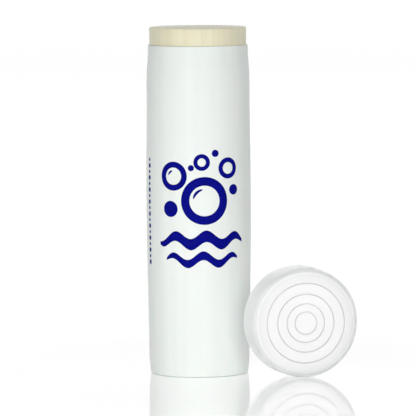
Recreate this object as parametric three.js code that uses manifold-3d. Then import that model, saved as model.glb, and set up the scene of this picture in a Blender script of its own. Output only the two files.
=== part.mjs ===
// Twist-up stain remover stick: a barrel, the solid stick that a lead screw raises in it, and the loose cap.
// Millimetres, +Z up. The barrel stands on the table and the cap stands on its edge beside it.
import * as THREE from 'three';
import { mergeVertices } from 'three/addons/utils/BufferGeometryUtils.js';
import Module from 'manifold-3d';

const wasm = await Module();
wasm.setup();

// Barrel: a straight bore inside an outer face that swells at mid height and steps in at the neck.
const barrelHeight = 119;
const boreRadius = 17.62;
const neckWall = 0.49;
const neckHeight = 3.6;
const shoulderWall = 0.98;
const shoulderDrop = 10.8;
const upperWall = 1.03;
const upperDrop = 22;
const swellWall = 1.33;
const swellHeight = 60;
const lowerWall = 0.77;
const lowerHeight = 20;
const footWall = 0.53;
const footHeight = 5.5;
const heelRound = 0.8;
const heelWall = 1.75;
const lipChamfer = 0.12;
const barrelSteps = 16;

// Foot recess that takes the dial, and the ledge over it that takes the bearing plate.
const recessRadius = 15.95;
const recessDepth = 11.6;
const recessChamfer = 0.3;

// Ribs along the bore, which keep the elevator and the stick from turning.
const ribCount = 4;
const ribTurn = Math.PI / 4;
const ribWidth = 1.2;
const ribProud = 0.9;
const ribRoot = 0.25;
const ribStart = 1.5;
const ribDrop = 13;

// Bearing plate, pressed into the bore on the ledge.
const plateThickness = 2.4;
const plateRimHeight = 3.6;
const plateRimWall = 1.4;
const plateStiffeners = 6;
const stiffenerWidth = 1.2;

// Lead screw: one left-hand trapezoid thread, so a clockwise turn seen from the foot raises the stick.
const lead = 5;
const screwCore = 3.2;
const threadDepth = 1.2;
const threadRootWidth = 2.4;
const threadCrestWidth = 1.3;
const threadRunOut = 0.4;
const flangeRadius = 7;
const flangeThickness = 2;
const flangeChamfer = 0.4;
const journalRadius = 4;
const driveWidth = 4.6;
const driveDepth = 8.5;
const threadTopDrop = 15;
const screwTip = 2;
const screwSides = 16;

// Base dial, turned by a bar between two finger pockets.
const dialInset = 0.5;
const dialHeight = 8.8;
const dialFloor = 1.8;
const dialWall = 1.6;
const dialHubRadius = 5.2;
const dialEdge = 0.4;
const gripEndWidth = 6.4;
const gripWaistWidth = 3.6;
const gripBevel = 0.5;

// Elevator: a platform with a guide skirt, a nut and four fins that hold the stick.
const platformThickness = 2;
const platformOverNut = 3;
const skirtWall = 1.3;
const nutRadius = 6.2;
const nutHeight = 10;
const finReach = 13;
const finHeight = 6;
const finWidth = 1.4;
const finCount = 4;

// Stick, and how far it stands above the mouth as shown.
const stickProud = 6.4;
const stickEdge = 0.45;
const travelDown = 7.5;
const boreCone = 3;

// Cap: a shallow cup with four fine rings on its closed face.
const capDepth = 12.4;
const capWall = 1.2;
const capTop = 1.3;
const capDraft = 0.2;
const capRound = 2.1;
const capInnerRound = 1.4;
const ringRadii = [4.05, 6.95, 10.45, 14.35];
const ringWidth = 0.5;
const ringSunk = 0.25;
const capYaw = THREE.MathUtils.degToRad(14.8);
const capSideAngle = THREE.MathUtils.degToRad(-42);

// Clearances.
const pressGap = 0.08;
const slideGap = 0.1;
const runGap = 0.3;
const castGap = 0.3;
const capFit = 0.08;
const capApart = 2.35;
const roundSides = 48;

// Heights and radii that follow from the sizes above.
const neckRadius = boreRadius + neckWall;
const shoulderRadius = boreRadius + shoulderWall;
const heelRadius = recessRadius + heelWall;
const plateTop = recessDepth + plateThickness;
const plateRimTop = recessDepth + plateRimHeight;
const flangeBottom = plateTop + runGap;
const flangeTop = flangeBottom + flangeThickness;
const threadCrest = screwCore + threadDepth;
const threadTop = barrelHeight - threadTopDrop;
const threadStart = flangeTop + threadRootWidth / 2;
const nutBottom = flangeTop + runGap + travelDown;
const platformBottom = nutBottom + platformOverNut;
const platformTop = platformBottom + platformThickness;
const nutTop = nutBottom + nutHeight;
const skirtBottom = plateRimTop + runGap + travelDown;
const ribTop = barrelHeight - ribDrop;
const stickRadius = boreRadius - slideGap;
const stickTop = barrelHeight + stickProud;
const dialRadius = recessRadius - runGap;
const dialTop = dialInset + dialHeight;
const hubTop = recessDepth - runGap;
const driveBottom = hubTop - driveDepth;
const capInner = shoulderRadius + capFit;
const capRadius = capInner + capWall;

// Makes a closed body from a geometry, with its shared corners merged and its empty triangles dropped.
function bodyOf(geometry) {
  geometry.deleteAttribute('normal');
  geometry.deleteAttribute('uv');
  const merged = mergeVertices(geometry);
  const index = merged.index.array;
  const triangles = [];
  for (let i = 0; i < index.length; i += 3) {
    const [a, b, c] = [index[i], index[i + 1], index[i + 2]];
    if (a !== b && b !== c && c !== a) triangles.push(a, b, c);
  }
  const vertProperties = merged.attributes.position.array;
  const triVerts = new Uint32Array(triangles);
  return new wasm.Manifold(new wasm.Mesh({ numProp: 3, vertProperties, triVerts }));
}

// Turns an outline of (radius, height) points about +Z.
function turned(outline, sides = roundSides) {
  return bodyOf(new THREE.LatheGeometry(outline, sides).rotateX(Math.PI / 2));
}

function at(radius, height) {
  return new THREE.Vector2(radius, height);
}

// Points of a quarter round from one heading to another, angles in quarter turns.
function quarterRound(radius, height, round, from, to, steps = 4) {
  const quarter = Math.PI / 2;
  const curve = new THREE.EllipseCurve(radius, height, round, round, from * quarter, to * quarter, to < from);
  return curve.getPoints(steps);
}

// A square bar on the axis.
function squareBar(width, bottom, top) {
  const box = new THREE.BoxGeometry(width, width, top - bottom);
  return bodyOf(box.translate(0, 0, (bottom + top) / 2));
}

// Copies of a bar that points along +X, spread evenly about the axis.
function spokes(count, firstAngle, inner, outer, width, bottom, top) {
  const bars = [];
  for (let i = 0; i < count; i += 1) {
    const box = new THREE.BoxGeometry(outer - inner, width, top - bottom);
    box.translate((inner + outer) / 2, 0, (bottom + top) / 2);
    bars.push(bodyOf(box.rotateZ(firstAngle + i * 2 * Math.PI / count)));
  }
  return bars;
}

function joined(bodies) {
  return bodies.reduce((sum, body) => sum.add(body));
}

// A left-hand helical ridge of trapezoid section about +Z, in step with every other ridge made here.
function helicalRidge(root, crest, rootWidth, crestWidth, bottom, top, runOut) {
  const steps = Math.floor((top - bottom) / lead * screwSides);
  const corners = [];
  for (let i = 0; i <= steps; i += 1) {
    const height = bottom + lead * i / screwSides;
    const angle = -2 * Math.PI * (height - threadStart) / lead;
    const turnsFromEnd = Math.min(height - bottom, top - height) / lead;
    const full = runOut > 0 ? Math.min(1, 0.1 + turnsFromEnd / runOut) : 1;
    const reach = screwCore + (crest - screwCore) * full;
    const section = [
      at(root, -rootWidth / 2),
      at(reach, -crestWidth / 2),
      at(reach, crestWidth / 2),
      at(root, rootWidth / 2),
    ];
    for (const { x: radius, y: rise } of section) {
      corners.push(radius * Math.cos(angle), radius * Math.sin(angle), height + rise);
    }
  }
  const faces = [0, 2, 1, 0, 3, 2];
  for (let i = 0; i < steps; i += 1) {
    for (let j = 0; j < 4; j += 1) {
      const a = 4 * i + j;
      const b = 4 * i + (j + 1) % 4;
      faces.push(a, b, b + 4, a, b + 4, a + 4);
    }
  }
  const last = 4 * steps;
  faces.push(last, last + 1, last + 2, last, last + 2, last + 3);
  const geometry = new THREE.BufferGeometry();
  geometry.setAttribute('position', new THREE.Float32BufferAttribute(corners, 3));
  geometry.setIndex(faces);
  return bodyOf(geometry);
}

function meshOf(name, body, look) {
  const { vertProperties, triVerts } = body.getMesh();
  const geometry = new THREE.BufferGeometry();
  geometry.setAttribute('position', new THREE.BufferAttribute(vertProperties, 3));
  geometry.setIndex(new THREE.BufferAttribute(triVerts, 1));
  geometry.computeVertexNormals();
  const mesh = new THREE.Mesh(geometry, new THREE.MeshStandardMaterial(look));
  mesh.name = name;
  return mesh;
}

function makeBarrel() {
  const outerFace = new THREE.SplineCurve([
    at(heelRadius, heelRound),
    at(boreRadius + footWall, footHeight),
    at(boreRadius + lowerWall, lowerHeight),
    at(boreRadius + swellWall, swellHeight),
    at(boreRadius + upperWall, barrelHeight - upperDrop),
    at(shoulderRadius, barrelHeight - shoulderDrop),
    at(neckRadius, barrelHeight - neckHeight),
  ]).getPoints(barrelSteps);
  const outline = [
    at(recessRadius + recessChamfer, 0),
    ...quarterRound(heelRadius - heelRound, heelRound, heelRound, -1, 0).slice(0, -1),
    ...outerFace,
    at(neckRadius, barrelHeight - lipChamfer),
    at(neckRadius - lipChamfer, barrelHeight),
    at(boreRadius + lipChamfer, barrelHeight),
    at(boreRadius, barrelHeight - lipChamfer),
    at(boreRadius, recessDepth),
    at(recessRadius, recessDepth),
    at(recessRadius, recessChamfer),
    at(recessRadius + recessChamfer, 0),
  ];
  const ribs = spokes(ribCount, ribTurn, boreRadius - ribProud, boreRadius + ribRoot, ribWidth,
    plateRimTop + ribStart, ribTop);
  return joined([turned(outline), ...ribs]);
}

function makeBearingPlate() {
  const plateRadius = boreRadius - pressGap;
  const rimInner = plateRadius - plateRimWall;
  const holeRadius = journalRadius + runGap;
  const dish = turned([
    at(holeRadius, recessDepth),
    at(plateRadius, recessDepth),
    at(plateRadius, plateRimTop),
    at(rimInner, plateRimTop),
    at(rimInner, plateTop),
    at(holeRadius, plateTop),
    at(holeRadius, recessDepth),
  ]);
  const stiffeners = spokes(plateStiffeners, 0, flangeRadius + runGap, rimInner + plateRimWall / 2,
    stiffenerWidth, recessDepth + plateThickness / 2, plateRimTop);
  return joined([dish, ...stiffeners]);
}

function makeLeadScrew() {
  const shaft = turned([
    at(0, driveBottom + driveDepth / 2),
    at(driveWidth / 2, driveBottom + driveDepth / 2),
    at(driveWidth / 2, hubTop),
    at(journalRadius, recessDepth),
    at(journalRadius, flangeBottom),
    at(flangeRadius, flangeBottom),
    at(flangeRadius, flangeTop - flangeChamfer),
    at(flangeRadius - flangeChamfer, flangeTop),
    at(screwCore, flangeTop),
    at(screwCore, threadTop),
    at(screwCore / 2, threadTop + screwTip),
    at(0, threadTop + screwTip),
  ], screwSides);
  const ridge = helicalRidge(screwCore - threadDepth / 2, threadCrest, threadRootWidth, threadCrestWidth,
    threadStart, threadTop - threadRootWidth / 2, threadRunOut);
  const drive = squareBar(driveWidth, driveBottom, hubTop);
  return joined([shaft, ridge, drive]);
}

function makeBaseDial() {
  const innerRadius = dialRadius - dialWall;
  const floorBottom = dialTop - dialFloor;
  const cup = turned([
    at(0, floorBottom),
    at(innerRadius, floorBottom),
    at(innerRadius, dialInset),
    at(dialRadius - dialEdge, dialInset),
    at(dialRadius, dialInset + dialEdge),
    at(dialRadius, dialTop),
    at(dialHubRadius, dialTop),
    at(dialHubRadius, hubTop),
    at(0, hubTop),
  ]);
  const reach = innerRadius + dialWall / 2;
  const half = gripEndWidth / 2;
  const bow = gripWaistWidth - half;
  const plan = new THREE.Shape();
  plan.moveTo(-reach, -half);
  plan.quadraticCurveTo(0, -bow, reach, -half);
  plan.lineTo(reach, half);
  plan.quadraticCurveTo(0, bow, -reach, half);
  const bar = new THREE.ExtrudeGeometry(plan, {
    depth: floorBottom + dialFloor / 2 - dialInset - 2 * gripBevel,
    bevelThickness: gripBevel,
    bevelSize: gripBevel,
    bevelOffset: -gripBevel,
    bevelSegments: 2,
    curveSegments: 12,
  }).translate(0, 0, dialInset + gripBevel);
  const hub = turned([
    at(0, dialInset),
    at(dialHubRadius - gripBevel, dialInset),
    at(dialHubRadius, dialInset + gripBevel),
    at(dialHubRadius, floorBottom + dialFloor / 2),
    at(0, floorBottom + dialFloor / 2),
  ]);
  const socket = squareBar(driveWidth + 2 * castGap, driveBottom - castGap, hubTop + castGap);
  return joined([cup, bodyOf(bar), hub]).subtract(socket);
}

// The ribs' grooves in a piece that slides along them.
function ribGrooves(bottom, top) {
  return spokes(ribCount, ribTurn, boreRadius - ribProud - castGap, boreRadius + ribRoot,
    ribWidth + 2 * castGap, bottom, top);
}

function elevatorFins(gap) {
  return spokes(finCount, 0, nutRadius / 2, finReach + gap, finWidth + 2 * gap,
    platformTop - platformThickness / 2, platformTop + finHeight + gap);
}

function makeElevator() {
  const outer = boreRadius - slideGap;
  const body = turned([
    at(0, nutBottom),
    at(nutRadius, nutBottom),
    at(nutRadius, platformBottom),
    at(outer - skirtWall, platformBottom),
    at(outer - skirtWall, skirtBottom),
    at(outer, skirtBottom),
    at(outer, platformTop),
    at(nutRadius, platformTop),
    at(nutRadius, nutTop),
    at(0, nutTop),
  ]);
  const wayBottom = nutBottom - lead;
  const wayTop = nutTop + lead;
  const wayRadius = screwCore + runGap;
  const screwWay = turned([at(0, wayBottom), at(wayRadius, wayBottom), at(wayRadius, wayTop), at(0, wayTop)],
    screwSides);
  const threadWay = helicalRidge(screwCore - threadDepth / 2, threadCrest + runGap,
    threadRootWidth + 2 * runGap, threadCrestWidth + 2 * runGap, wayBottom, wayTop, 0);
  const cuts = joined([screwWay, threadWay, ...ribGrooves(skirtBottom - lead, platformTop + lead)]);
  return joined([body, ...elevatorFins(0)]).subtract(cuts);
}

function makeStick() {
  const screwRoom = threadTop + screwTip + travelDown + runGap;
  const wayRadius = threadCrest + runGap;
  const pocketRadius = nutRadius + castGap;
  const body = turned([
    at(pocketRadius, platformTop),
    at(stickRadius, platformTop),
    ...quarterRound(stickRadius - stickEdge, stickTop - stickEdge, stickEdge, 0, 1),
    at(0, stickTop),
    at(0, screwRoom + boreCone),
    at(wayRadius, screwRoom),
    at(wayRadius, nutTop + castGap),
    at(pocketRadius, nutTop + castGap),
    at(pocketRadius, platformTop),
  ]);
  const grooves = ribGrooves(platformTop - platformThickness, ribTop + travelDown + castGap);
  return body.subtract(joined([...grooves, ...elevatorFins(castGap)]));
}

function makeCap() {
  const faceEdge = capRadius - capDraft - capRound;
  const innerTop = capDepth - capTop;
  const rings = [];
  for (const radius of ringRadii.toReversed()) {
    rings.push(at(radius + ringWidth / 2, capDepth));
    rings.push(at(radius, capDepth - ringSunk));
    rings.push(at(radius - ringWidth / 2, capDepth));
  }
  return turned([
    at(capInner, 0),
    at(capRadius, 0),
    ...quarterRound(faceEdge, capDepth - capRound, capRound, 0, 1),
    ...rings,
    at(0, capDepth),
    at(0, innerTop),
    ...quarterRound(capInner - capDraft - capInnerRound, innerTop - capInnerRound, capInnerRound, 1, 0, 3),
    at(capInner, 0),
  ]);
}

const whitePlastic = { color: 0xf1f3f1, roughness: 0.32, metalness: 0 };
const innerPlastic = { color: 0xe9ece9, roughness: 0.45, metalness: 0 };
const creamWax = { color: 0xece2c6, roughness: 0.5, metalness: 0 };
const milkyPlastic = { color: 0xe6eaec, roughness: 0.35, metalness: 0, transparent: true, opacity: 0.85 };

const dispenser = new THREE.Group();
dispenser.add(
  meshOf('barrel', makeBarrel(), whitePlastic),
  meshOf('bearing_plate', makeBearingPlate(), innerPlastic),
  meshOf('lead_screw', makeLeadScrew(), innerPlastic),
  meshOf('base_dial', makeBaseDial(), whitePlastic),
  meshOf('elevator', makeElevator(), innerPlastic),
  meshOf('stick', makeStick(), creamWax),
);

// The cap stands on its skirt beside the barrel, its closed face turned to the front.
const cap = meshOf('cap', makeCap(), milkyPlastic);
cap.rotation.x = Math.PI / 2;
const capStand = new THREE.Group();
capStand.add(cap);
capStand.rotation.z = capYaw;
const sideReach = boreRadius + swellWall + capApart;
capStand.position.set(
  sideReach * Math.cos(capSideAngle) + capRadius * Math.cos(capYaw),
  sideReach * Math.sin(capSideAngle) + capRadius * Math.sin(capYaw),
  capRadius,
);

// The origin is on the table, in the middle of the two pieces' footprint.
const part = new THREE.Group();
part.add(dispenser, capStand);
part.updateMatrixWorld(true);
const footprint = new THREE.Box3().setFromObject(part, true);
part.position.set(-(footprint.min.x + footprint.max.x) / 2, -(footprint.min.y + footprint.max.y) / 2, 0);

export default part;
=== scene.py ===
import math
import bmesh
import bpy
from mathutils import Euler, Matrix, Quaternion, Vector, noise


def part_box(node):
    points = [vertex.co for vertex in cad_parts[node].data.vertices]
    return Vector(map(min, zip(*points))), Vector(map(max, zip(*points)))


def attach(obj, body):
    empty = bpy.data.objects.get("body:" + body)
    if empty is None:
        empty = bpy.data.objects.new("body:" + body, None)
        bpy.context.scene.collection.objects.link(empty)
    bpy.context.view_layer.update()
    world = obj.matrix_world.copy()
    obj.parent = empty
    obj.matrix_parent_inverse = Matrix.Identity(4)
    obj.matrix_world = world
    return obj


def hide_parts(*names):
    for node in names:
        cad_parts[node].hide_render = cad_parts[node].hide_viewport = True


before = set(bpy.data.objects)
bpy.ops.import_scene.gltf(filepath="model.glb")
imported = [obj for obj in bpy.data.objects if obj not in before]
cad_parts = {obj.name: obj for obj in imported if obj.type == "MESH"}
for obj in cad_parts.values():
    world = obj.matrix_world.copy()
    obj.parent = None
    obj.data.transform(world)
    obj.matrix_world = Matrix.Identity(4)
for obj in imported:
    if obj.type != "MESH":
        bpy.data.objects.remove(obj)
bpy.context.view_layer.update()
scene = bpy.context.scene
scene.view_settings.view_transform = "Standard"
mm = 0.001
barrelLow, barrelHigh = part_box("barrel")
tubeAxis = Vector(((barrelLow.x + barrelHigh.x) / 2, (barrelLow.y + barrelHigh.y) / 2, 0))
print("frame loaded, tube axis at", [round(v / mm, 3) for v in tubeAxis])


# camera, measured from the tube's axis in mm, tilt in degrees
shot = {"sideways": 3.37, "back": 1507.8, "height": 183.13, "aim": 59.74, "lens": 361.2, "tilt": -0.3148}


def makeCamera():
    eye = tubeAxis + Vector((shot["sideways"], -shot["back"], shot["height"])) * mm
    aim = tubeAxis + Vector((shot["sideways"], 0, shot["aim"])) * mm
    tilt = Quaternion((0, 0, 1), math.radians(shot["tilt"]))
    camera = bpy.data.objects.new("camera", bpy.data.cameras.new("camera"))
    camera.data.lens = shot["lens"]
    camera.location = eye
    camera.rotation_mode = "QUATERNION"
    camera.rotation_quaternion = (aim - eye).to_track_quat("-Z", "Y") @ tilt
    scene.collection.objects.link(camera)
    scene.camera = camera


makeCamera()
print("camera set")


# mesh helpers, sizes in mm
def ringPoint(radius, turn, height):
    return (radius * math.cos(turn) * mm, radius * math.sin(turn) * mm, height * mm)


def rounded(points, steps=5):
    # each point is (radius, height) or (radius, height, rounding)
    out = []
    for i, point in enumerate(points):
        here = Vector(point[:2])
        if len(point) < 3:
            out.append(tuple(here))
            continue
        before = Vector(points[i - 1][:2]) - here
        after = Vector(points[(i + 1) % len(points)][:2]) - here
        start = here + before.normalized() * point[2]
        end = here + after.normalized() * point[2]
        for k in range(steps + 1):
            t = k / steps
            out.append(tuple(start * (1 - t) ** 2 + here * 2 * t * (1 - t) + end * t ** 2))
    return out


def splineThrough(knots, count):
    # smooth curve through the knots
    out = []
    for k in range(count + 1):
        place = (len(knots) - 1) * k / count
        i = min(int(place), len(knots) - 2)
        t = place - i
        a, b, c, d = (Vector(knots[max(0, min(len(knots) - 1, i + o))]) for o in (-1, 0, 1, 2))
        inSlope, outSlope = (c - a) / 2, (d - b) / 2
        p = (2 * b - 2 * c + inSlope + outSlope) * t ** 3 + (3 * c - 3 * b - 2 * inSlope - outSlope) * t ** 2
        out.append(tuple(p + inSlope * t + b))
    return out


def skin(bm, rings):
    # quads from ring to ring, the last one back to the first; a ring may be a single point
    sides = max(len(ring) for ring in rings)
    for near, far in zip(rings, rings[1:] + rings[:1]):
        for i in range(sides):
            corners = []
            for ring, step in ((near, i), (near, i + 1), (far, i + 1), (far, i)):
                vert = ring[step % len(ring)]
                if vert not in corners:
                    corners.append(vert)
            if len(corners) > 2:
                bm.faces.new(corners)


def spin(profile, sides):
    bm = bmesh.new()
    rings = []
    for radius, height in profile:
        count = 1 if radius < 0.001 else sides  # one point where the profile meets the axis
        rings.append([bm.verts.new(ringPoint(radius, 2 * math.pi * i / sides, height)) for i in range(count)])
    skin(bm, rings)
    bmesh.ops.recalc_face_normals(bm, faces=bm.faces)
    return bm


def block(bm, low, high, turn, bevel):
    # a bar with softened edges, turned about the axis
    made = bmesh.ops.create_cube(bm, size=1)["verts"]
    size, middle = Vector(high) - Vector(low), (Vector(low) + Vector(high)) / 2
    spun = Euler((0, 0, turn)).to_matrix()
    for vert in made:
        vert.co = spun @ (Vector([c * s for c, s in zip(vert.co, size)]) + middle) * mm
    edges = list({edge for vert in made for edge in vert.link_edges})
    bmesh.ops.bevel(bm, geom=edges, offset=bevel * mm, segments=2, affect="EDGES", profile=0.5)


def pieceFrom(bm, name, surface, place=tubeAxis, sharp=38):
    # edges that turn more than sharp degrees stay crisp
    mesh = bpy.data.meshes.new(name)
    bm.to_mesh(mesh)
    bm.free()
    mesh.shade_smooth()
    mesh.set_sharp_from_angle(angle=math.radians(sharp))
    mesh.materials.append(surface)
    piece = bpy.data.objects.new(name, mesh)
    piece.location = place
    scene.collection.objects.link(piece)
    return piece


# material helpers; a bump is (strength, depth in mm)
noiseSpan = (0.3, 0.7)  # most of a noise texture's values lie in here


def surfaceNodes(name, sockets):
    material = bpy.data.materials.new(name)
    material.use_nodes = True
    tree = material.node_tree
    shader = tree.nodes["Principled BSDF"]
    for socket, value in sockets.items():
        shader.inputs[socket].default_value = value
    return material, tree, shader


def stretched(tree, scale):
    # object coordinates in metres, scaled for a texture
    coords = tree.nodes.new("ShaderNodeTexCoord")
    mapping = tree.nodes.new("ShaderNodeMapping")
    mapping.inputs["Scale"].default_value = scale
    tree.links.new(coords.outputs["Object"], mapping.inputs["Vector"])
    return mapping.outputs["Vector"]


def grain(tree, scale, detail, rough=0.5):
    texture = tree.nodes.new("ShaderNodeTexNoise")
    texture.inputs["Scale"].default_value = 1
    texture.inputs["Detail"].default_value = detail
    texture.inputs["Roughness"].default_value = rough
    tree.links.new(stretched(tree, scale), texture.inputs["Vector"])
    return texture.outputs["Fac"]


def shades(tree, fac, stops):
    ramp = tree.nodes.new("ShaderNodeValToRGB")
    while len(ramp.color_ramp.elements) < len(stops):
        ramp.color_ramp.elements.new(0.5)
    for element, (spot, colour) in zip(ramp.color_ramp.elements, stops):
        element.position = spot
        element.color = (*colour, 1)
    tree.links.new(fac, ramp.inputs["Fac"])
    return ramp.outputs["Color"]


def spread(tree, fac, low, high):
    remap = tree.nodes.new("ShaderNodeMapRange")
    remap.inputs["From Min"].default_value = noiseSpan[0]
    remap.inputs["From Max"].default_value = noiseSpan[1]
    remap.inputs["To Min"].default_value = low
    remap.inputs["To Max"].default_value = high
    tree.links.new(fac, remap.inputs["Value"])
    return remap.outputs["Result"]


def relief(tree, fac, bump, under=None):
    strength, depth = bump
    bumps = tree.nodes.new("ShaderNodeBump")
    bumps.inputs["Strength"].default_value = strength
    bumps.inputs["Distance"].default_value = depth * mm
    tree.links.new(fac, bumps.inputs["Height"])
    if under:
        tree.links.new(under, bumps.inputs["Normal"])
    return bumps.outputs["Normal"]


def distanceFrom(tree, point, reach):
    # length of a vector as a share of reach
    length = tree.nodes.new("ShaderNodeVectorMath")
    length.operation = "LENGTH"
    tree.links.new(point, length.inputs[0])
    share = tree.nodes.new("ShaderNodeMapRange")
    share.inputs["From Max"].default_value = reach
    tree.links.new(length.outputs["Value"], share.inputs["Value"])
    return share.outputs["Result"]


def plasticSurface(name, look):
    # moulded plastic: slow tint drift, uneven gloss, lines along the draw and fine orange peel
    material, tree, shader = surfaceNodes(name, look["sockets"])
    drift = grain(tree, look["drift"], detail=2)
    peel = grain(tree, look["peel"], detail=2)
    draw = grain(tree, look["draw"], detail=4, rough=0.6)
    tree.links.new(shades(tree, drift, look["tints"]), shader.inputs["Base Color"])
    tree.links.new(spread(tree, draw, *look["gloss"]), shader.inputs["Roughness"])
    lines = relief(tree, draw, look["drawBump"])
    tree.links.new(relief(tree, peel, look["peelBump"], lines), shader.inputs["Normal"])
    return material


# barrel: lathe profile from the foot up the outside, over the lip and down the bore
barrel = {
    "skinUnder": 0.03,  # leaves room for the print inside the solid's box
    "wall": [(17.7, 0.8), (18.15, 5.5), (18.39, 20), (18.95, 60), (18.65, 97), (18.6, 108.2), (18.11, 115.4)],
    "wallSteps": 72, "sides": 240, "roundSteps": 6,
    "height": 119, "lip": 0.21, "heel": 0.8,
    "bore": 17.62, "ledge": 11.6, "recess": 15.95, "recessEdge": 0.3,
    "ribs": 4, "ribWidth": 1.2, "ribInner": 16.72, "ribLow": 16.7, "ribHigh": 106,
    "ribRoot": 0.2, "ribBevel": 0.15,  # the root is how far a rib runs into the wall
    "look": {
        "drift": (230, 230, 5), "tints": [(0.3, (0.842, 0.88, 0.85)), (0.7, (0.88, 0.918, 0.885))],
        "draw": (700, 700, 14), "drawBump": (0.05, 0.02), "gloss": (0.33, 0.4),
        "peel": (1500, 1500, 1500), "peelBump": (0.04, 0.01),
        "sockets": {"Specular IOR Level": 0.13, "Subsurface Weight": 0.12, "Subsurface Scale": 0.001},
    },
}
outside = [(r - barrel["skinUnder"], z) for r, z in splineThrough(barrel["wall"], barrel["wallSteps"])]


def tubeRadius(height):
    for (r0, z0), (r1, z1) in zip(outside, outside[1:]):
        if z0 <= height <= z1:
            return r0 + (r1 - r0) * (height - z0) / (z1 - z0)
    return outside[-1][0]


def makeBarrel():
    footRadius, neckRadius = outside[0][0], outside[-1][0]
    tip, lip = barrel["height"], barrel["lip"]
    profile = rounded([
        (barrel["recess"] + barrel["recessEdge"], 0),
        (footRadius, 0, barrel["heel"]),
        *outside[1:],
        (neckRadius, tip, lip), (barrel["bore"], tip, lip),
        (barrel["bore"], barrel["ledge"]), (barrel["recess"], barrel["ledge"]),
        (barrel["recess"], barrel["recessEdge"]),
    ], barrel["roundSteps"])
    bm = spin(profile, barrel["sides"])
    half = barrel["ribWidth"] / 2
    ribFoot = (barrel["ribInner"], -half, barrel["ribLow"])
    ribHead = (barrel["bore"] + barrel["ribRoot"], half, barrel["ribHigh"])
    for i in range(barrel["ribs"]):
        block(bm, ribFoot, ribHead, math.pi / 4 + i * math.pi / 2, barrel["ribBevel"])
    piece = pieceFrom(bm, "barrelShell", plasticSurface("barrelWhite", barrel["look"]))
    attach(piece, "barrel_body")
    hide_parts("barrel")


makeBarrel()
print("barrel made")


# printed mark on the front of the barrel: bubbles over two waves and a column of dots, in one ink
mark = {
    "proud": 0.025, "sink": 0.05, "bend": 18.9,
    # along the wall, height, outer and inner radius
    "bubbles": [(2.2, 63.8, 8.6, 5.5), (-9.4, 72.6, 5.2, 3.1), (11.2, 75.4, 3.8, 2.1), (-10.6, 60.8, 2.9, 0),
                (1.2, 77.6, 3.0, 1.5), (13.6, 67.6, 1.9, 0), (-2.7, 75.6, 1.1, 0), (6.2, 80.8, 1.3, 0)],
    # along, height, inner and outer radius, from and to degree
    "glints": [(2.2, 63.8, 3.6, 4.6, 100, 170), (-9.4, 72.6, 1.6, 2.3, 100, 170)],
    # height, thickness, from, to, phase
    "waves": [(49.6, 4.2, -15.5, 18.0, 0.0), (42.6, 3.2, -12.5, 15.5, 0.1)],
    "swing": 1.5, "length": 11.5,
    "dots": {"along": -22.6, "low": 41.0, "high": 78.0, "count": 18, "radii": (0.9, 0.65)},
    "bubbleSteps": 64, "dotSteps": 20, "glintSteps": 24, "waveSteps": 72, "arcRows": 5, "waveRows": 4,
    "glintTaper": (0.02, 0.5), "waveTaper": (0.01, 0.35),
    "inks": [(0.3, (0.0012, 0.0025, 0.2)), (0.7, (0.0025, 0.004, 0.25))],
    "cloud": (260, 260, 260), "gloss": (0.5, 0.62),
    "screen": (2600, 2600, 2600), "screenBump": (0.08, 0.01),
    "sockets": {"Specular IOR Level": 0.03},
}


def inkPoint(along, height):
    turn = -math.pi / 2 + along / mark["bend"]
    return ringPoint(tubeRadius(height) + mark["proud"], turn, height)


def inkPatch(bm, rows):
    verts = [[bm.verts.new(inkPoint(*spot)) for spot in row] for row in rows]
    for low, high in zip(verts, verts[1:]):
        for i in range(len(low) - 1):
            bm.faces.new((low[i], low[i + 1], high[i + 1], high[i]))


def tapered(t, margin, power):
    # full in the middle of a stroke, narrow at its ends
    return math.sin(math.pi * min(max(t, margin), 1 - margin)) ** power


def inkArc(bm, along, height, inner, outer, start=0, stop=360, *, steps, taper=None):
    rows = []
    last = mark["arcRows"] - 1
    for j in range(mark["arcRows"]):
        row = []
        for i in range(steps + 1):
            t = i / steps
            turn = math.radians(start + (stop - start) * t)
            middle, half = (inner + outer) / 2, (outer - inner) / 2
            if taper:
                half *= tapered(t, *taper)
            reach = middle + half * (2 * j / last - 1)
            row.append((along + reach * math.cos(turn), height + reach * math.sin(turn)))
        rows.append(row)
    inkPatch(bm, rows)


def inkWave(bm, height, thick, start, stop, phase):
    rows = []
    steps, last = mark["waveSteps"], mark["waveRows"] - 1
    for j in range(mark["waveRows"]):
        row = []
        for i in range(steps + 1):
            t = i / steps
            along = start + (stop - start) * t
            crest = mark["swing"] * math.sin(2 * math.pi * (along / mark["length"] + phase))
            row.append((along, height + crest + thick * tapered(t, *mark["waveTaper"]) * (j / last - 0.5)))
        rows.append(row)
    inkPatch(bm, rows)


def inkSurface():
    material, tree, shader = surfaceNodes("printBlue", mark["sockets"])
    cloud = grain(tree, mark["cloud"], detail=4)
    screen = grain(tree, mark["screen"], detail=1)
    tree.links.new(shades(tree, cloud, mark["inks"]), shader.inputs["Base Color"])
    tree.links.new(spread(tree, cloud, *mark["gloss"]), shader.inputs["Roughness"])
    tree.links.new(relief(tree, screen, mark["screenBump"]), shader.inputs["Normal"])
    return material


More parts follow.
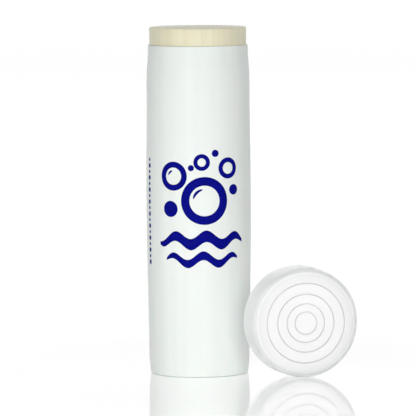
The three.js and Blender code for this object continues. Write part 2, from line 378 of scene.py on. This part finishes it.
def makeMark():
    bm = bmesh.new()
    for along, height, outer, inner in mark["bubbles"]:
        inkArc(bm, along, height, inner, outer, steps=mark["bubbleSteps"])
    dots = mark["dots"]
    for i in range(dots["count"]):
        height = dots["low"] + (dots["high"] - dots["low"]) * i / (dots["count"] - 1)
        inkArc(bm, dots["along"], height, 0, dots["radii"][i % 2], steps=mark["dotSteps"])
    for glint in mark["glints"]:
        inkArc(bm, *glint, steps=mark["glintSteps"], taper=mark["glintTaper"])
    for wave in mark["waves"]:
        inkWave(bm, *wave)
    bmesh.ops.remove_doubles(bm, verts=bm.verts, dist=1e-6)
    bmesh.ops.recalc_face_normals(bm, faces=bm.faces)
    piece = pieceFrom(bm, "barrelPrint", inkSurface())
    film = piece.modifiers.new("film", "SOLIDIFY")
    film.thickness = mark["sink"] * mm
    film.offset = -1
    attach(piece, "barrel_body")


makeMark()
print("print made")


# stick: waxy cake with guide grooves low down, drag scores on its wall and a nearly flat top
stick = {
    "radius": 17.52, "bottom": 29.1, "top": 125.4, "edge": 0.45,
    "grooveTop": 113.8, "grooveInner": 16.42, "grooveHalf": 0.9, "grooveRings": (55, 85),
    "pocket": (6.5, 34.4), "way": (4.7, 113.8), "tip": 116.8,  # the hollow for the nut and the screw
    "quarter": 96, "wallRings": 28, "edgeRings": 6,
    "topShares": (0.96, 0.9, 0.8, 0.68, 0.54, 0.4, 0.26, 0.12),
    # depth of the scores and how near the wall they are, then for a broad and a fine set: scale, drift, start
    "score": 0.05, "scoreBand": 1, "scores": [(14, 0.05, 0), (40, 0.12, 9)],
    "dish": 0.12, "dishGrain": 160, "dishStart": 3,
    "tints": [(0.32, (0.755, 0.71, 0.51)), (0.5, (0.795, 0.755, 0.56)), (0.68, (0.82, 0.79, 0.605))],
    "streak": (680, 680, 10), "streakBump": (0.55, 0.05),
    "cloud": (130, 130, 60), "gloss": (0.36, 0.5),
    "pores": (2400, 2400, 2400), "poreBump": (0.1, 0.03),
    "sockets": {"Subsurface Weight": 0.35, "Subsurface Radius": (1.0, 0.75, 0.45), "Subsurface Scale": 0.0016,
                "Specular IOR Level": 0.4},
}


def stickTurns():
    # one quarter runs from a groove's far side to the next groove's near side
    lip = math.asin(stick["grooveHalf"] / stick["radius"])
    turns = []
    for quarter in range(4):
        middle = math.pi / 4 + quarter * math.pi / 2
        turns += [(middle - lip, False), (middle - lip / 3, True), (middle + lip / 3, True)]
        for i in range(stick["quarter"]):
            turns.append((middle + lip + (math.pi / 2 - 2 * lip) * i / stick["quarter"], False))
    return turns


def scoreDepth(turn, height):
    depth = 0
    for scale, drift, start in stick["scores"]:
        spot = Vector((math.cos(turn) * scale, math.sin(turn) * scale, height * drift + start))
        depth += max(0, noise.noise(spot))
    return stick["score"] * depth


def stickRing(bm, turns, radius, height, grooved=False):
    ring = []
    deep = math.asin(stick["grooveHalf"] / stick["grooveInner"])
    for turn, inGroove in turns:
        if grooved and inGroove:
            middle = round((turn - math.pi / 4) / (math.pi / 2)) * math.pi / 2 + math.pi / 4
            side = 1 if turn > middle else -1
            ring.append(bm.verts.new(ringPoint(stick["grooveInner"], middle + side * deep, height)))
            continue
        scored = radius > stick["radius"] - stick["scoreBand"]
        reach = radius - scoreDepth(turn, height) if scored else radius
        ring.append(bm.verts.new(ringPoint(reach, turn, height)))
    return ring


def dishRing(ring):
    grainScale, start = stick["dishGrain"], stick["dishStart"]
    for vert in ring:
        hollow = noise.noise(Vector((vert.co.x * grainScale, vert.co.y * grainScale, start)))
        vert.co.z -= stick["dish"] * mm * (0.5 + 0.5 * hollow)


def waxSurface():
    material, tree, shader = surfaceNodes("stickCream", stick["sockets"])
    streak = grain(tree, stick["streak"], detail=4, rough=0.65)
    cloud = grain(tree, stick["cloud"], detail=3)
    pores = grain(tree, stick["pores"], detail=2)
    tree.links.new(shades(tree, streak, stick["tints"]), shader.inputs["Base Color"])
    tree.links.new(spread(tree, cloud, *stick["gloss"]), shader.inputs["Roughness"])
    lines = relief(tree, streak, stick["streakBump"])
    tree.links.new(relief(tree, pores, stick["poreBump"], lines), shader.inputs["Normal"])
    return material


def makeStick():
    bm = bmesh.new()
    turns = stickTurns()
    top, edge, radius, bottom = stick["top"], stick["edge"], stick["radius"], stick["bottom"]
    grooveTop, wallTop = stick["grooveTop"], stick["top"] - stick["edge"]
    rings = [stickRing(bm, turns, radius, z, True) for z in (bottom, *stick["grooveRings"], grooveTop)]
    for i in range(stick["wallRings"] + 1):
        height = grooveTop + (wallTop - grooveTop) * i / stick["wallRings"]
        rings.append(stickRing(bm, turns, radius, height))
    for i in range(1, stick["edgeRings"] + 1):
        turn = math.pi / 2 * i / stick["edgeRings"]
        inward, upward = edge * (1 - math.cos(turn)), edge * math.sin(turn)
        rings.append(stickRing(bm, turns, radius - inward, wallTop + upward))
    for share in stick["topShares"]:
        ring = stickRing(bm, turns, (radius - edge) * share, top)
        dishRing(ring)
        rings.append(ring)
    rings.append([bm.verts.new((0, 0, (top - stick["dish"] / 2) * mm))])
    rings.append([bm.verts.new((0, 0, stick["tip"] * mm))])
    (pocketRadius, pocketTop), (wayRadius, wayTop) = stick["pocket"], stick["way"]
    hollow = [(wayRadius, wayTop), (wayRadius, pocketTop), (pocketRadius, pocketTop), (pocketRadius, bottom)]
    rings += [stickRing(bm, turns, r, z) for r, z in hollow]
    skin(bm, rings)
    bmesh.ops.remove_doubles(bm, verts=bm.verts, dist=1e-7)
    bmesh.ops.recalc_face_normals(bm, faces=bm.faces)
    piece = pieceFrom(bm, "stickCake", waxSurface())
    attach(piece, "stick_body")
    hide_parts("stick")


makeStick()
print("stick made")


# cap: shallow cup on its edge, four fine rings cut in its closed face
cap = {
    "rimCentre": (35.0495, -9.1743, 19.88), "yaw": 14.8,
    "outer": 19.855, "inner": 18.68, "depth": 12.375, "top": 1.3, "draft": 0.2,
    "round": 2.1, "innerRound": 1.4, "rimEdge": 0.3,
    "rings": (14.35, 10.45, 6.95, 4.05), "ringWidth": 0.42, "ringSunk": 0.38,
    "sides": 256, "cornerSteps": 12, "ringSteps": 5, "roundSteps": 8,
    # clearness and tints of the skirt, the corner, the closed face and its rings; the corner and the rings
    # have darker tints as painted shade
    "zones": [
        ("capSkirt", 0.66, [(0.3, (0.95, 0.965, 0.96)), (0.7, (0.97, 0.98, 0.975))]),
        ("capCornerShaded", 0.45, [(0.3, (0.87, 0.885, 0.885)), (0.7, (0.91, 0.925, 0.925))]),
        ("capFace", 0.34, [(0.3, (0.97, 0.97, 0.97)), (0.7, (0.99, 0.99, 0.99))]),
        ("capRingShade", 0.34, [(0.3, (0.68, 0.68, 0.68)), (0.7, (0.78, 0.78, 0.78))]),
    ],
    # painted shade darkening the tint towards the corner: radius and what is left of the tint there
    "shadeBands": [(14, 1), (15.5, 0.965), (16.7, 0.95), (17.4, 0.9), (17.9, 0.82), (18.5, 0.92), (19.1, 1)],
    "shadeBanded": ("capCornerShaded", "capFace"),
    "flow": (60, 60, 60), "gloss": (0.4, 0.5),
    "frost": (1800, 1800, 1800), "frostBump": (0.06, 0.01),
    "sockets": {"IOR": 1.49, "Alpha": 0.87, "Specular IOR Level": 0.35},
}
capTurn = Euler((math.pi / 2, 0, math.radians(cap["yaw"]))).to_matrix()


# painted shade: the tint darkens by radius over the face's outer part and the corner
def cornerShadeTint(tree, tint):
    # a cross product with the cap's axis is as long as the distance from that axis
    coords = tree.nodes.new("ShaderNodeTexCoord")
    across = tree.nodes.new("ShaderNodeVectorMath")
    across.operation = "CROSS_PRODUCT"
    across.inputs[1].default_value = capTurn @ Vector((0, 0, 1))
    tree.links.new(coords.outputs["Object"], across.inputs[0])
    share = distanceFrom(tree, across.outputs["Vector"], cap["outer"] * mm)
    shadeBands = [(radius / cap["outer"], (left,) * 3) for radius, left in cap["shadeBands"]]
    mix = tree.nodes.new("ShaderNodeMix")
    mix.data_type = "RGBA"
    mix.blend_type = "MULTIPLY"
    mix.inputs["Factor"].default_value = 1
    tree.links.new(tint, mix.inputs[6])  # 6, 7 and 2 are the node's colour sockets
    tree.links.new(shades(tree, share, shadeBands), mix.inputs[7])
    return mix.outputs[2]


def milkySurface(name, clear, tints):
    material, tree, shader = surfaceNodes(name, {**cap["sockets"], "Transmission Weight": clear})
    flow = grain(tree, cap["flow"], detail=3)
    frost = grain(tree, cap["frost"], detail=2)
    tint = shades(tree, flow, tints)
    # the corner and the face's edge get the painted shade
    if name in cap["shadeBanded"]:
        tint = cornerShadeTint(tree, tint)
    tree.links.new(tint, shader.inputs["Base Color"])
    tree.links.new(spread(tree, flow, *cap["gloss"]), shader.inputs["Roughness"])
    tree.links.new(relief(tree, frost, cap["frostBump"]), shader.inputs["Normal"])
    return material


def capProfile():
    face, rimEdge = cap["depth"], cap["rimEdge"]
    shoulder = cap["outer"] - cap["draft"]
    profile = [(cap["inner"], 0, rimEdge), (cap["outer"], 0, rimEdge)]
    for i in range(cap["cornerSteps"] + 1):
        turn = math.pi / 2 * i / cap["cornerSteps"]
        inward, downward = cap["round"] * (1 - math.cos(turn)), cap["round"] * (1 - math.sin(turn))
        profile.append((shoulder - inward, face - downward))
    steps = cap["ringSteps"]
    for radius in cap["rings"]:
        for i in range(-steps, steps + 1):
            dip = 0.5 + 0.5 * math.cos(math.pi * i / steps)
            profile.append((radius - cap["ringWidth"] / 2 * i / steps, face - cap["ringSunk"] * dip))
    innerTop = face - cap["top"]
    profile += [(0, face), (0, innerTop), (cap["inner"] - cap["draft"], innerTop, cap["innerRound"])]
    return rounded(profile, cap["roundSteps"])


def capZone(middle):
    # which of the zones a face lies in, by its middle in mm
    reach = math.hypot(middle.x, middle.y)
    inRing = any(abs(reach - radius) < cap["ringWidth"] / 2 for radius in cap["rings"])
    # the ring grooves take a darker tint, painted shade in the grooves
    if inRing and middle.z > cap["depth"] - cap["top"] / 2:
        return "capRingShade"
    if reach < cap["outer"] - cap["draft"] - cap["round"]:
        return "capFace"
    # the corner zone carries a tint darkened as painted shade
    if middle.z > cap["depth"] - cap["round"] and reach > cap["inner"] - cap["draft"] * 2:
        return "capCornerShaded"
    return "capSkirt"


def makeCap():
    bm = spin(capProfile(), cap["sides"])
    zoneNames = [name for name, clear, tints in cap["zones"]]
    for quad in bm.faces:
        quad.material_index = zoneNames.index(capZone(quad.calc_center_median() / mm))
    bmesh.ops.rotate(bm, verts=bm.verts, cent=(0, 0, 0), matrix=capTurn)
    surfaces = [milkySurface(*zone) for zone in cap["zones"]]
    piece = pieceFrom(bm, "capShell", surfaces[0], tubeAxis + Vector(cap["rimCentre"]) * mm)
    for surface in surfaces[1:]:
        piece.data.materials.append(surface)
    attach(piece, "cap_body")
    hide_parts("cap")


makeCap()
print("cap made")


# dial in the foot: a shallow cup with a waisted grip bar across it
dial = {
    "radius": 15.65, "inner": 14.05, "low": 0.5, "floor": 7.5, "top": 9.3, "hub": 5.2, "hubTop": 11.3,
    "rimOuter": 0.4, "rimInner": 0.3, "floorRound": 0.4, "topRound": 0.2, "sides": 160,
    "gripEnd": 3.2, "gripWaist": 1.8, "gripBevel": 0.5, "gripSteps": 60,
    "gripInWall": 0.6, "gripInFloor": 0.9,  # how far the bar runs into the cup
    "look": {
        "drift": (60, 60, 60), "tints": [(0.35, (0.80, 0.825, 0.81)), (0.65, (0.825, 0.845, 0.83))],
        "draw": (300, 300, 300), "drawBump": (0.08, 0.02), "gloss": (0.4, 0.5),
        "peel": (2600, 2600, 2600), "peelBump": (0.12, 0.01),
        "sockets": {"Specular IOR Level": 0.4},
    },
}


def gripOutline():
    # a bar that narrows to its waist and widens round the hub
    reach = dial["inner"] + dial["gripInWall"]
    side = []
    for i in range(dial["gripSteps"] + 1):
        along = -reach + 2 * reach * i / dial["gripSteps"]
        bar = dial["gripWaist"] + (dial["gripEnd"] - dial["gripWaist"]) * (along / reach) ** 2
        hub = math.sqrt(max(0, dial["hub"] ** 2 - along ** 2))
        side.append((along, max(bar, hub)))
    return side + [(x, -y) for x, y in reversed(side)]


def makeDial():
    low, floor, top, topRound = dial["low"], dial["floor"], dial["top"], dial["topRound"]
    bm = spin(rounded([
        (0, floor), (dial["inner"], floor, dial["floorRound"]), (dial["inner"], low, dial["rimInner"]),
        (dial["radius"], low, dial["rimOuter"]), (dial["radius"], top, topRound), (dial["hub"], top),
        (dial["hub"], dial["hubTop"], topRound), (0, dial["hubTop"]),
    ]), dial["sides"])
    gripTop = (floor + dial["gripInFloor"]) * mm
    base = bm.faces.new([bm.verts.new((x * mm, y * mm, gripTop)) for x, y in gripOutline()])
    pulled = bmesh.ops.extrude_face_region(bm, geom=[base])["geom"]
    for vert in [g for g in pulled if isinstance(g, bmesh.types.BMVert)]:
        vert.co.z = low * mm
    rim = [g for g in pulled if isinstance(g, bmesh.types.BMEdge)]
    bmesh.ops.bevel(bm, geom=rim, offset=dial["gripBevel"] * mm, segments=4, affect="EDGES", profile=0.5)
    bmesh.ops.recalc_face_normals(bm, faces=bm.faces)
    piece = pieceFrom(bm, "footDial", plasticSurface("dialWhite", dial["look"]))
    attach(piece, "dial_body")
    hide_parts("base_dial")


makeDial()
print("dial made")


# inner moulded pieces keep their solids and get an unpolished natural plastic
inner = {
    "nodes": ("bearing_plate", "lead_screw", "elevator"),
    "look": {
        "drift": (80, 80, 80), "tints": [(0.35, (0.70, 0.735, 0.715)), (0.65, (0.745, 0.775, 0.755))],
        "draw": (900, 900, 60), "drawBump": (0.1, 0.02), "gloss": (0.45, 0.6),
        "peel": (3000, 3000, 3000), "peelBump": (0.15, 0.01),
        "sockets": {"Specular IOR Level": 0.35},
    },
}


def dressInner():
    plastic = plasticSurface("innerNatural", inner["look"])
    for name in inner["nodes"]:
        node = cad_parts[name]
        node.material_slots[0].material = plastic


dressInner()
print("inner pieces dressed")


# floor, world and lamps, in metres
stage = {
    "floorSize": 14, "floorParts": 8, "floorColour": (0.86, 0.86, 0.86), "mirror": 0.68, "mirrorBlur": 0.006,
    # share of the reach and the glow there, which keeps the floor white as the lamps fall off
    "glowReach": 4.4,
    "glows": [(0, 0.61), (0.02, 0.62), (0.03, 0.67), (0.065, 0.68), (0.19, 0.73), (0.43, 0.89), (0.95, 0.98)],
    "ambient": 0.06,
    # turn is seen from above, 0 in front and positive to the right; away and aim are the lamps' usual ones
    "away": 1.6, "aim": 0.06,
    "lamps": [
        {"name": "frontKey", "turn": -3, "rise": 12, "size": (3.4, 0.9), "power": 24.4},
        {"name": "leftFill", "turn": -95, "rise": 14, "size": (0.9, 1.2), "power": 1.15},
        {"name": "rightFill", "turn": 100, "rise": 14, "size": (0.9, 1.2), "power": 2.45},
        {"name": "backLeft", "turn": -140, "rise": 20, "size": (1.2, 0.9), "power": 1.6},
        {"name": "backRight", "turn": 140, "rise": 20, "size": (1.2, 0.9), "power": 2.4},
        {"name": "highBack", "turn": 180, "rise": 46, "size": (1.0, 1.0), "power": 4.7},
        {"name": "lowFront", "turn": 0, "rise": 0, "size": (0.5, 0.008), "power": 0.185,
         "away": 0.22, "aim": 0.006},
        {"name": "lowLeft", "turn": -70, "rise": 0, "size": (0.3, 0.008), "power": 0.06,
         "away": 0.26, "aim": 0.006},
    ],
}


def seenRays(tree):
    # 1 for rays that show the background: straight, mirrored or through a clear wall
    rays = tree.nodes.new("ShaderNodeLightPath")
    total = rays.outputs["Is Camera Ray"]
    for kind in ("Is Glossy Ray", "Is Transmission Ray"):
        both = tree.nodes.new("ShaderNodeMath")
        both.operation = "MAXIMUM"
        tree.links.new(total, both.inputs[0])
        tree.links.new(rays.outputs[kind], both.inputs[1])
        total = both.outputs[0]
    return total


def mixed(tree, fac, first, second):
    mix = tree.nodes.new("ShaderNodeMixShader")
    if isinstance(fac, float):
        mix.inputs["Fac"].default_value = fac
    else:
        tree.links.new(fac, mix.inputs["Fac"])
    tree.links.new(first, mix.inputs[1])
    tree.links.new(second, mix.inputs[2])
    return mix.outputs[0]


def floorSurface():
    material = bpy.data.materials.new("floorWhite")
    material.use_nodes = True
    tree = material.node_tree
    tree.nodes.remove(tree.nodes["Principled BSDF"])
    matte = tree.nodes.new("ShaderNodeBsdfDiffuse")
    matte.inputs["Color"].default_value = (*stage["floorColour"], 1)
    glow = tree.nodes.new("ShaderNodeEmission")
    coords = tree.nodes.new("ShaderNodeTexCoord")
    share = distanceFrom(tree, coords.outputs["Object"], stage["glowReach"])
    glows = [(spot, (level,) * 3) for spot, level in stage["glows"]]
    tree.links.new(shades(tree, share, glows), glow.inputs["Strength"])
    gloss = tree.nodes.new("ShaderNodeBsdfGlossy")
    gloss.inputs["Color"].default_value = (1, 1, 1, 1)
    gloss.inputs["Roughness"].default_value = stage["mirrorBlur"]
    lit = tree.nodes.new("ShaderNodeAddShader")
    tree.links.new(matte.outputs[0], lit.inputs[0])
    tree.links.new(glow.outputs[0], lit.inputs[1])
    shown = mixed(tree, stage["mirror"], lit.outputs[0], gloss.outputs[0])
    both = mixed(tree, seenRays(tree), matte.outputs[0], shown)
    tree.links.new(both, tree.nodes["Material Output"].inputs["Surface"])
    return material


def makeFloor():
    bm = bmesh.new()
    parts = stage["floorParts"]
    bmesh.ops.create_grid(bm, x_segments=parts, y_segments=parts, size=stage["floorSize"] / 2)
    pieceFrom(bm, "floor", floorSurface(), Vector((0, 0, 0)))


def makeWorld():
    world = bpy.data.worlds.new("studio")
    world.use_nodes = True
    scene.world = world
    tree = world.node_tree
    soft = tree.nodes["Background"]
    soft.inputs["Color"].default_value = (1, 1, 1, 1)
    soft.inputs["Strength"].default_value = stage["ambient"]
    white = tree.nodes.new("ShaderNodeBackground")
    white.inputs["Color"].default_value = (1, 1, 1, 1)
    white.inputs["Strength"].default_value = 1
    both = mixed(tree, seenRays(tree), soft.outputs[0], white.outputs[0])
    tree.links.new(both, tree.nodes["World Output"].inputs["Surface"])


def makeLamps():
    for lamp in stage["lamps"]:
        light = bpy.data.lights.new(lamp["name"], "AREA")
        light.shape = "RECTANGLE"
        light.size, light.size_y = lamp["size"]
        light.energy = lamp["power"]
        holder = bpy.data.objects.new(lamp["name"], light)
        turn, rise = math.radians(lamp["turn"]), math.radians(lamp["rise"])
        out = Vector((math.sin(turn) * math.cos(rise), -math.cos(turn) * math.cos(rise), math.sin(rise)))
        away, aim = lamp.get("away", stage["away"]), lamp.get("aim", stage["aim"])
        holder.location = Vector((0, 0, aim)) + out * away
        holder.rotation_euler = (-out).to_track_quat("-Z", "Y").to_euler()
        holder.visible_camera = False
        scene.collection.objects.link(holder)


makeFloor()
makeWorld()
makeLamps()
print("stage set")
